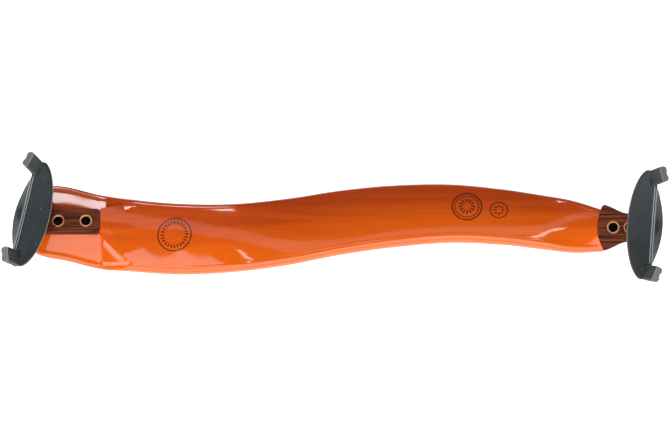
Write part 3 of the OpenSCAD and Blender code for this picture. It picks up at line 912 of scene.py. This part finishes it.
def build_rosewood(context):
    """Rosewood bar with three through holes, and tongue with a tenon, two blind holes and one through hole."""
    settings = context.scene.shoulder_rest_board
    shape = BoardShape(settings)
    tongue = TongueShape(shape)
    wood = oiled_rosewood(settings)
    insert_r = context.scene.shoulder_rest_legs.insert_d / MM / 2 + shape.GLUE

    bar = prism("rosewood_bar", shape.bar_outline(0), shape.bar_low.z, shape.bar_high.z)
    bevel(bar, 0.28)
    for node in INSERTS["left"]:
        hole = round_bar("hole", insert_r, shape.bar_low.z - 2, shape.bar_high.z + 2)
        combine(bar, move(hole, Matrix.Translation((cad_centre(node).x, shape.bar_y, 0))))
    finish_piece(bar, "left_plate", "board", wood)

    plate = prism("rosewood_tongue", tongue.outline(), -tongue.THICK, 0)
    bevel(plate, 0.35)
    combine(plate, tongue.tenon(0), "UNION")
    for x in tongue.hole_xs:
        bottom = tongue.THICK + 2 if x == tongue.hole_xs[-1] else tongue.THICK - tongue.FLOOR + shape.GLUE
        hole = round_bar("hole", insert_r, -bottom, 2)
        combine(plate, move(hole, Matrix.Translation((x, 0, 0))))
    # Painted shade: hole walls and floors more than a millimetre down are marked to be painted near black.
    mark_points(plate, "depth", lambda p: 1.0 if p.z < -1.0 and any(
        math.hypot(p.x - x, p.y) < insert_r + 0.01 for x in tongue.hole_xs) else 0.0)
    move(plate, tongue.frame)
    finish_piece(plate, "right_plate", "board", wood)


def build_pad(context):
    """Foam pad with rounded edges and a crowned underside, flat only where it rests."""
    settings = context.scene.shoulder_rest_board
    shape = BoardShape(settings)
    gap = 0.15
    end_power, side_power, belly_power = 16, 0.32, 0.42
    first, last = shape.tip_x + 4, shape.end_x - 9
    rings = []
    steps = 150
    around = 40
    for i in range(steps + 1):
        x = lerp(first + 0.2, last - 0.2, i / steps)
        f = 2 * (x - first) / (last - first) - 1
        ends = (1 - abs(f) ** end_power) ** 0.5
        half = (shape.half_width(x) - shape.pad_inset) * clamp(ends, 0.3, 1)
        top = shape.low(x) - gap
        thick = shape.pad_t * clamp(ends, 0.5, 1)
        ring = [(lerp(-half, half, k / 8), top) for k in range(9)]
        for k in range(1, around):
            turn = math.pi * k / around
            across = half * math.copysign(abs(math.cos(turn)) ** side_power, math.cos(turn))
            ring.append((across, top - thick * math.sin(turn) ** belly_power))
        points = [shape.place(x, a, b) for a, b in ring]
        rings.append([(p[0], p[1], max(p[2], 0.0)) for p in points])
    pad = loft("foam_pad", rings)
    for node in INSERTS["left"]:
        well = round_bar("well", shape.POST_HOLE_R, shape.bar_high.z - 8.6, shape.bar_high.z)
        combine(pad, move(well, Matrix.Translation((cad_centre(node).x, shape.bar_y, 0))))
    finish_piece(pad, "shoulder_pad", "board", pad_foam(settings), sharp=50)


# ---------- legs ----------

def thread_profile(core, crest, pitch, low, high):
    """Profile of a bore with thread ridges, from the top down."""
    points = []
    turns = int((high - low) / pitch)
    for i in range(turns):
        z = high - i * pitch
        points += [(crest, z - 0.1 * pitch), (core, z - 0.45 * pitch), (core, z - 0.6 * pitch)]
    return points


def build_inserts(context):
    """Six brass sleeves with a bevelled mouth and thread ridges."""
    board = context.scene.shoulder_rest_board
    legs = context.scene.shoulder_rest_legs
    shape = BoardShape(board)
    tongue = TongueShape(shape)
    outer = legs.insert_d / MM / 2
    crest = legs.thread_d / MM / 2
    pitch = legs.thread_pitch / MM
    metal = handled_metal("insert_brass", tuple(legs.brass), 0.5, 0.6)
    open_mouth = 1.66
    for end, nodes in INSERTS.items():
        for i, node in enumerate(nodes):
            word = node.split("_")[-1]
            holds_post = word == "outer"
            low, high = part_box(node)
            if end == "left":
                height = (high[2] - low[2]) / MM
                place = Matrix.Translation((cad_centre(node).x, shape.bar_y, high[2] / MM))
            else:
                height = tongue.THICK - (0 if holds_post else tongue.FLOOR)
                place = tongue.frame @ Matrix.Translation((tongue.hole_xs[i], 0, 0))
            mouth = crest + 0.05 if holds_post else open_mouth
            ring = min(mouth + 0.2, outer - 0.15)
            bore = [(mouth, 0.4 - height)]
            if not holds_post:
                bore = thread_profile(mouth - 0.04, crest - 0.02, pitch, 0.3 - height, -0.35)
            profile = [(outer, -height), (outer, -0.08), (outer - 0.08, 0.0), (ring, 0.0), (mouth, -0.16)]
            profile += bore + [(mouth, -height)]
            sleeve = lathe(f"brass_insert_{end}_{word}", profile)
            # Painted shade: the sleeve is marked to turn near black below its mouth.
            if not holds_post:
                mark_points(sleeve, "depth", lambda p: ease((-p.z - 0.1) / 0.35))
            move(sleeve, place)
            finish_piece(sleeve, node, "board", metal)


def leg_frames(shape, tongue, legs):
    """Frame of each fork: u outward, v along the saddle, Z along the post from the fork's underside."""
    left_pos = Vector(joints["left_turn"]["pos_m"]) / MM
    left_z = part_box("left_fork")[0][2] / MM
    left = (Matrix.Translation((left_pos.x, left_pos.y, left_z))
            @ Matrix.Rotation(math.pi + legs.left_turn, 4, "Z"))
    right = (tongue.frame @ Matrix.Translation((tongue.post_x, 0, legs.right_lift / MM))
             @ Matrix.Rotation(legs.right_turn, 4, "Z"))
    return {"left": left, "right": right}


def build_posts(context):
    """Two posts with a helical thread below the fork and a plain shank inside it."""
    legs = context.scene.shoulder_rest_legs
    shape = BoardShape(context.scene.shoulder_rest_board)
    tongue = TongueShape(shape)
    crest = legs.thread_d / MM / 2 - 0.03
    depth = 0.36
    pitch = legs.thread_pitch / MM
    reach, shank, end_bevel = 11.4, 1.75, 0.45
    metal = handled_metal("post_steel", tuple(legs.steel), 0.25, 0.35)
    around = 40
    rows = 170
    for end, place in leg_frames(shape, tongue, legs).items():
        rings = []
        for i in range(rows + 1):
            z = lerp(-reach, 0.0, i / rows)
            limit = crest - end_bevel * clamp(1 - (z + reach) / 0.5, 0, 1)
            ring = []
            for k in range(around):
                phase = (z / pitch - k / around) % 1.0
                tooth = clamp(1.25 - 2.5 * abs(phase - 0.5), 0, 1)
                r = min(limit, crest - depth + depth * tooth)
                turn = 2 * math.pi * k / around
                ring.append((r * math.cos(turn), r * math.sin(turn), z))
            rings.append(ring)
        turns = [2 * math.pi * k / around for k in range(around)]
        for z in (0.01, ForkShape.GRIP):
            rings.append([(shank * math.cos(turn), shank * math.sin(turn), z) for turn in turns])
        post = move(loft(f"threaded_post_{end}", rings), place)
        finish_piece(post, f"{end}_post", f"{end}_screw", metal)


def build_nuts(context):
    """Two knurled lock nuts with bevelled rims and a raised collar."""
    legs = context.scene.shoulder_rest_legs
    shape = BoardShape(context.scene.shoulder_rest_board)
    tongue = TongueShape(shape)
    radius = legs.nut_d / MM / 2
    height = legs.nut_h / MM
    knurls = 44
    per = 6
    bore = legs.thread_d / MM / 2 + 0.05
    face = radius - 0.9
    edge = 0.25
    metal = handled_metal("nut_nickel", tuple(legs.nickel), 0.2, 0.3)
    post = Vector(joints["left_nut_turn"]["pos_m"]) / MM
    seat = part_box("left_lock_nut")[0][2] / MM
    gap = seat - shape.bar_high.z
    places = {"left": Matrix.Translation((post.x, post.y, seat)),
              "right": tongue.frame @ Matrix.Translation((tongue.post_x, 0, gap))}
    for end, place in places.items():
        rings = []
        for i in range(knurls * per):
            turn = 2 * math.pi * i / (knurls * per)
            wave = 0.5 - 0.5 * math.cos(2 * math.pi * i / per)
            groove = 0.42 * wave ** 0.7
            side, rim = radius - groove, radius - edge - groove * 0.6
            ring = [(bore + edge, 0), (face, 0), (face, edge), (rim, 0.4), (side, 0.7), (side, height - 0.7),
                    (rim, height - 0.4), (face, height - edge), (face - 0.4, height - 0.05),
                    (face - 0.8, height - edge), (bore + 1.1, height - edge), (bore + 0.9, height),
                    (bore + edge, height), (bore, height - edge), (bore, edge)]
            rings.append([(r * math.cos(turn), r * math.sin(turn), z) for r, z in ring])
        nut = move(loft(f"lock_nut_{end}", rings, closed=True), place)
        finish_piece(nut, f"{end}_lock_nut", f"{end}_nut", metal)


class ForkShape:
    """Moulded fork in its own frame: u outward, v along the saddle, Z up from the underside of the boss."""

    SADDLE_U = -1
    LIP_U = 1.2
    LIP_W = 0.8
    LIP_H = 0.6
    CHORD_HALF = 14.6
    BULGE = 3.4
    CLAW_U = -0.5
    CLAW_V = 16.7
    LEAN = 24
    SPLAY = 17
    THICK = 2.2
    MIDDLE_Z = 4.6
    RISE = 2.6
    BOSS_R = 4.4
    BOOT_W = 5.6
    BOOT_T = 2.8
    LOBE_R = 1.3
    BOOT_FIT = 0.02
    PRONG = (1.0, 3.6)
    PRONG_U = 0.7
    GRIP = 3.2
    BORE_R = 1.82
    END_INSET = 0.35

    def __init__(self, legs):
        self.saddle_len = legs.saddle_len / MM
        self.saddle_depth = legs.saddle_depth / MM
        self.boot_h = legs.boot_h / MM

    def top(self, v):
        return self.MIDDLE_Z + self.RISE * (v / 20) ** 2

    def inner(self, v):
        return self.SADDLE_U - self.saddle_depth * math.sqrt(max(0, 1 - (2 * v / self.saddle_len) ** 2))

    def lip(self, v):
        return self.LIP_U + self.LIP_W - max(0, abs(v) - self.CHORD_HALF) * 0.32

    def rib(self, v):
        """Share of the rib's full depth at v: 1 over the boss, 0 at the ends."""
        return 1 - ease((abs(v) - self.BOSS_R) / (self.CHORD_HALF - self.BOSS_R))

    def bulge(self, v):
        return self.lip(v) + self.BULGE * max(0, 1 - (v / self.CHORD_HALF) ** 2)

    def saddle(self):
        """The saddle as a loft along v, with its lip, its curved side and a rib under its middle."""
        reach = self.saddle_len / 2 - self.END_INSET
        rows = 90
        rings = []
        for i in range(rows + 1):
            v = reach * math.sin(-math.pi / 2 + math.pi * i / rows)
            top, u0, u3, rib = self.top(v), self.inner(v), self.lip(v), self.rib(v)
            under = top - self.THICK
            low = lerp(under - 0.1, 0, rib)
            rib_u = lerp(u3 - 1.2, -2, rib)
            lip = self.LIP_H * (1 - 0.9 * ease((abs(v) - self.CHORD_HALF + 2) / 2))
            ring = [(u0, top - 1.5), (u0 + 0.15, top - 0.9), (u0 + 0.6, top - 0.45),
                    (lerp(u0, u3, 0.4), top - 0.12),
                    (u3 - self.LIP_W - 0.15, top), (u3 - self.LIP_W, top + lip), (u3 - 0.15, top + lip),
                    (u3, top + lip - 0.2), (self.bulge(v), lerp(under, 1.2, rib)), (self.bulge(v) - 0.3, low),
                    (rib_u, low), (rib_u - 0.5, under), (lerp(u0, rib_u, 0.3), under)]
            rings.append([(u, -v, z) for u, z in ring])
        return loft("saddle", rings)

    def painted_highlight(self, p):
        """Painted highlight at the point p: strongest on the lip's two edges and along the curved rim."""
        v = p.y
        height = p.z - self.top(v)
        if height < -self.THICK or abs(v) > self.saddle_len / 2 - 0.2:
            return 0.0
        from_lip = min(abs(p.x - self.lip(v) + self.LIP_W + 0.05), abs(p.x - self.lip(v) + 0.05))
        on_lip = (1 - ease((from_lip - 0.05) / 0.22)) if height > 0.15 else 0.0
        on_rim = 0.6 * (1 - ease((p.x - self.inner(v) - 0.1) / 0.4)) if height > -1.3 else 0.0
        return max(on_lip, on_rim)

    def claw(self, side):
        """Frame of the claw at that end of the saddle, splayed and leaning outward."""
        return (Matrix.Translation((self.CLAW_U, side * self.CLAW_V, self.top(self.CLAW_V)))
                @ Matrix.Rotation(math.radians(side * self.SPLAY), 4, "Z")
                @ Matrix.Rotation(math.radians(self.LEAN), 4, "Y"))

    def prong(self, gap):
        """The prong inside a boot, larger by gap on every side."""
        thick, wide = self.PRONG
        low = (self.PRONG_U - gap, -wide / 2 - gap, -1)
        return block("prong", low, (self.PRONG_U + thick + gap, wide / 2 + gap, self.boot_h - 1.3 + gap))

    def boot_outline(self):
        """Outline of a boot: flat towards the saddle, two lobes with a notch between them outside."""
        half, thick, lobe = self.BOOT_W / 2, self.BOOT_T, self.LOBE_R
        points = [(0.35, -half), (0, 0.35 - half), (0, half - 0.35), (0.35, half)]
        points += arc((thick - lobe, half - lobe), lobe, 90, -40, 16)
        points += arc((thick - lobe, lobe - half), lobe, 40, -90, 16)
        return points[::-1]


def build_forks(context):
    """Two forks: saddle, boss, claw roots and prongs melted into one moulding."""
    legs = context.scene.shoulder_rest_legs
    fork = ForkShape(legs)
    shape = BoardShape(context.scene.shoulder_rest_board)
    tongue = TongueShape(shape)
    plastic = moulded_plastic(legs)
    for end, place in leg_frames(shape, tongue, legs).items():
        parts = [fork.saddle(), round_bar("boss", fork.BOSS_R, 0, fork.MIDDLE_Z - 0.8)]
        for side in (-1, 1):
            root = block("root", (-0.4, 0.2 - fork.BOOT_W / 2, -fork.THICK),
                         (fork.BOOT_T - 0.1, fork.BOOT_W / 2 - 0.2, -0.05))
            parts += [move(tool, fork.claw(side)) for tool in (root, fork.prong(0))]
        body = join(f"moulded_fork_{end}", parts)
        mould(body, voxel=0.17, rounds=4)
        for side in (-1, 1):
            seat = block("seat", (0.0, -fork.BOOT_W / 2 - 0.1, 0.0), (9, fork.BOOT_W / 2 + 0.1, 12))
            combine(seat, fork.prong(0))
            combine(body, move(seat, fork.claw(side)))
        combine(body, round_bar("bore", fork.BORE_R, -1, fork.GRIP + 0.1))
        # Marks where the highlight on the lip and the rim is painted.
        mark_points(body, "painted_highlight_mask", fork.painted_highlight)
        move(body, place)
        finish_piece(body, f"{end}_fork", f"{end}_cradle", plastic, sharp=50)


def build_boots(context):
    """Four rubber boots with rounded tops, pushed over the prongs."""
    legs = context.scene.shoulder_rest_legs
    fork = ForkShape(legs)
    shape = BoardShape(context.scene.shoulder_rest_board)
    tongue = TongueShape(shape)
    rubber = boot_rubber(legs)
    outline = fork.boot_outline()
    sides = {"left": {1: "front", -1: "back"}, "right": {-1: "front", 1: "back"}}
    for end, place in leg_frames(shape, tongue, legs).items():
        for side, word in sides[end].items():
            boot = prism(f"rubber_boot_{end}_{word}", outline, fork.BOOT_FIT, fork.boot_h)
            mould(boot, voxel=0.14, rounds=3)
            # Marks the edges for the painted highlight and the upper ends for the painted light.
            mark_edges(boot)
            mark_points(boot, "tip", lambda p: ease((p.z - fork.boot_h + 0.35) / 0.25))
            combine(boot, fork.prong(fork.BOOT_FIT))
            move(boot, place @ fork.claw(side) @ Matrix.Translation((fork.BOOT_FIT, 0, 0)))
            finish_piece(boot, f"{end}_boot_{word}", f"{end}_cradle", rubber, sharp=45)


# ---------- studio ----------

# Softboxes round the rest: tilt away from straight above towards the back and towards the right in
# degrees, width and depth in metres, brightness, and whether gloss and matt surfaces see them.
SOFTBOXES = {
    "strip": (25, -2, 1.1, 0.14, 0.9, True, True),
    "right_box": (19, 10, 0.035, 0.1, 10.0, True, False),
    "left_box": (12, -8, 0.03, 0.09, 9.0, True, False),
    "back_window": (45, -19, 0.3, 0.2, 14.0, True, False),
    "front_panel": (-17, -10, 0.9, 0.42, 3.0, True, True),
    "left_panel": (5, -52, 0.3, 0.6, 5.0, True, True),
    "front_fill": (-55, 3, 1.6, 0.9, 3.4, True, True),
    "top_fill": (8, 0, 1.2, 0.9, 0.4, False, True),
}


def softbox(name, aim, scale):
    """Rectangular area light one metre from the rest that faces it."""
    back, right, width, depth, brightness, in_gloss, on_matt = SOFTBOXES[name]
    direction = Vector((math.tan(math.radians(right)), math.tan(math.radians(back)), 1.0)).normalized()
    data = bpy.data.lights.new(name, "AREA")
    data.shape = "RECTANGLE"
    data.size = width
    data.size_y = depth
    data.energy = scale * brightness * math.pi * width * depth
    lamp = new_object(name, data)
    lamp.location = aim + direction
    lamp.rotation_euler = (-direction).to_track_quat("-Z", "Y").to_euler()
    lamp.visible_glossy = in_gloss
    lamp.visible_diffuse = on_matt


def build_studio(context):
    """Camera, pale floor, softboxes and a dim room."""
    settings = context.scene.shoulder_rest_studio
    aim = Vector((0.0, settings.aim_y, settings.aim_z))
    data = bpy.data.cameras.new("camera")
    data.lens = settings.focal
    data.sensor_width = 36.0
    data.clip_start = 0.05
    data.clip_end = 20.0
    camera = new_object("camera", data)
    back = Vector((0.0, -math.cos(settings.elevation), math.sin(settings.elevation)))
    camera.location = aim + back * settings.distance
    camera.rotation_euler = (-back).to_track_quat("-Z", "Y").to_euler()
    context.scene.camera = camera
    context.scene.view_settings.view_transform = "Standard"

    reach = 3.0
    corners = [(-reach, -reach, 0), (reach, -reach, 0), (reach, reach, 0), (-reach, reach, 0)]
    floor = mesh_piece("studio_floor", corners, [(0, 1, 2, 3)])
    floor.location.z = -0.0003
    material, tree, shader = new_material("pale_floor")
    place = stretched_place(tree, 1.0, 1.0, 1.0)
    mottle = add(tree, "ShaderNodeTexNoise", Vector=place, Scale=30.0, Detail=3.0)
    tone = blend_colours(tree, mottle.outputs[0], (0.9, 0.9, 0.9), (0.93, 0.93, 0.93))
    tree.links.new(tone, shader.inputs["Base Color"])
    set_inputs(shader, Roughness=0.8, Emission_Color=(1.0, 1.0, 1.0, 1.0), Emission_Strength=0.7)
    floor.data.materials.append(material)

    world = bpy.data.worlds.new("dim_room")
    context.scene.world = world
    world.use_nodes = True
    set_inputs(world.node_tree.nodes["Background"], Color=(1.0, 1.0, 1.0, 1.0), Strength=settings.surround)

    for name in SOFTBOXES:
        softbox(name, aim, settings.light)


# ---------- operators, panel and registration ----------

class SHOULDER_REST_OT_studio(bpy.types.Operator):
    """Set up the camera, the floor and the lights"""

    bl_idname = "shoulder_rest.studio"
    bl_label = "Studio"
    bl_options = {"REGISTER", "UNDO"}

    def execute(self, context):
        build_studio(context)
        return {"FINISHED"}


class SHOULDER_REST_OT_board(bpy.types.Operator):
    """Build the lacquered maple board"""

    bl_idname = "shoulder_rest.board"
    bl_label = "Maple Board"
    bl_options = {"REGISTER", "UNDO"}

    def execute(self, context):
        build_board(context)
        return {"FINISHED"}


class SHOULDER_REST_OT_rosewood(bpy.types.Operator):
    """Build the rosewood bar and tongue"""

    bl_idname = "shoulder_rest.rosewood"
    bl_label = "Rosewood Ends"
    bl_options = {"REGISTER", "UNDO"}

    def execute(self, context):
        build_rosewood(context)
        return {"FINISHED"}


class SHOULDER_REST_OT_pad(bpy.types.Operator):
    """Build the foam pad under the board"""

    bl_idname = "shoulder_rest.pad"
    bl_label = "Foam Pad"
    bl_options = {"REGISTER", "UNDO"}

    def execute(self, context):
        build_pad(context)
        return {"FINISHED"}


class SHOULDER_REST_OT_inserts(bpy.types.Operator):
    """Build the six threaded inserts"""

    bl_idname = "shoulder_rest.inserts"
    bl_label = "Brass Inserts"
    bl_options = {"REGISTER", "UNDO"}

    def execute(self, context):
        build_inserts(context)
        return {"FINISHED"}


class SHOULDER_REST_OT_posts(bpy.types.Operator):
    """Build the two threaded posts"""

    bl_idname = "shoulder_rest.posts"
    bl_label = "Threaded Posts"
    bl_options = {"REGISTER", "UNDO"}

    def execute(self, context):
        build_posts(context)
        return {"FINISHED"}


class SHOULDER_REST_OT_nuts(bpy.types.Operator):
    """Build the two knurled lock nuts"""

    bl_idname = "shoulder_rest.nuts"
    bl_label = "Lock Nuts"
    bl_options = {"REGISTER", "UNDO"}

    def execute(self, context):
        build_nuts(context)
        return {"FINISHED"}


class SHOULDER_REST_OT_forks(bpy.types.Operator):
    """Build the two moulded forks"""

    bl_idname = "shoulder_rest.forks"
    bl_label = "Forks"
    bl_options = {"REGISTER", "UNDO"}

    def execute(self, context):
        build_forks(context)
        return {"FINISHED"}


class SHOULDER_REST_OT_boots(bpy.types.Operator):
    """Build the four rubber boots"""

    bl_idname = "shoulder_rest.boots"
    bl_label = "Rubber Boots"
    bl_options = {"REGISTER", "UNDO"}

    def execute(self, context):
        build_boots(context)
        return {"FINISHED"}


OPERATORS = [
    SHOULDER_REST_OT_studio, SHOULDER_REST_OT_board, SHOULDER_REST_OT_rosewood,
    SHOULDER_REST_OT_pad, SHOULDER_REST_OT_inserts, SHOULDER_REST_OT_posts,
    SHOULDER_REST_OT_nuts, SHOULDER_REST_OT_forks, SHOULDER_REST_OT_boots,
]

SETTINGS = [("shoulder_rest_board", ShoulderRestBoard), ("shoulder_rest_legs", ShoulderRestLegs),
            ("shoulder_rest_studio", ShoulderRestStudio)]


class SHOULDER_REST_PT_panel(bpy.types.Panel):
    """Lists the building steps and their settings."""

    bl_label = "Shoulder Rest"
    bl_idname = "SHOULDER_REST_PT_panel"
    bl_space_type = "VIEW_3D"
    bl_region_type = "UI"
    bl_category = "Shoulder Rest"

    def draw(self, context):
        for step in OPERATORS:
            self.layout.operator(step.bl_idname)
        for name, group_class in SETTINGS:
            box = self.layout.box()
            box.label(text=group_class.__doc__.rstrip("."))
            for key in group_class.__annotations__:
                box.prop(getattr(context.scene, name), key)


def register():
    """Registers the settings, the operators and the panel."""
    for name, group_class in SETTINGS:
        bpy.utils.register_class(group_class)
        setattr(bpy.types.Scene, name, bpy.props.PointerProperty(type=group_class))
    for step in OPERATORS:
        bpy.utils.register_class(step)
    bpy.utils.register_class(SHOULDER_REST_PT_panel)


def unregister():
    """Removes the panel, the operators and the settings."""
    bpy.utils.unregister_class(SHOULDER_REST_PT_panel)
    for step in reversed(OPERATORS):
        bpy.utils.unregister_class(step)
    for name, group_class in reversed(SETTINGS):
        delattr(bpy.types.Scene, name)
        bpy.utils.unregister_class(group_class)


def main():
    """Builds everything in order."""
    register()
    for step in OPERATORS:
        getattr(bpy.ops.shoulder_rest, step.bl_idname.split(".")[1])()


if __name__ == "__main__":
    main()
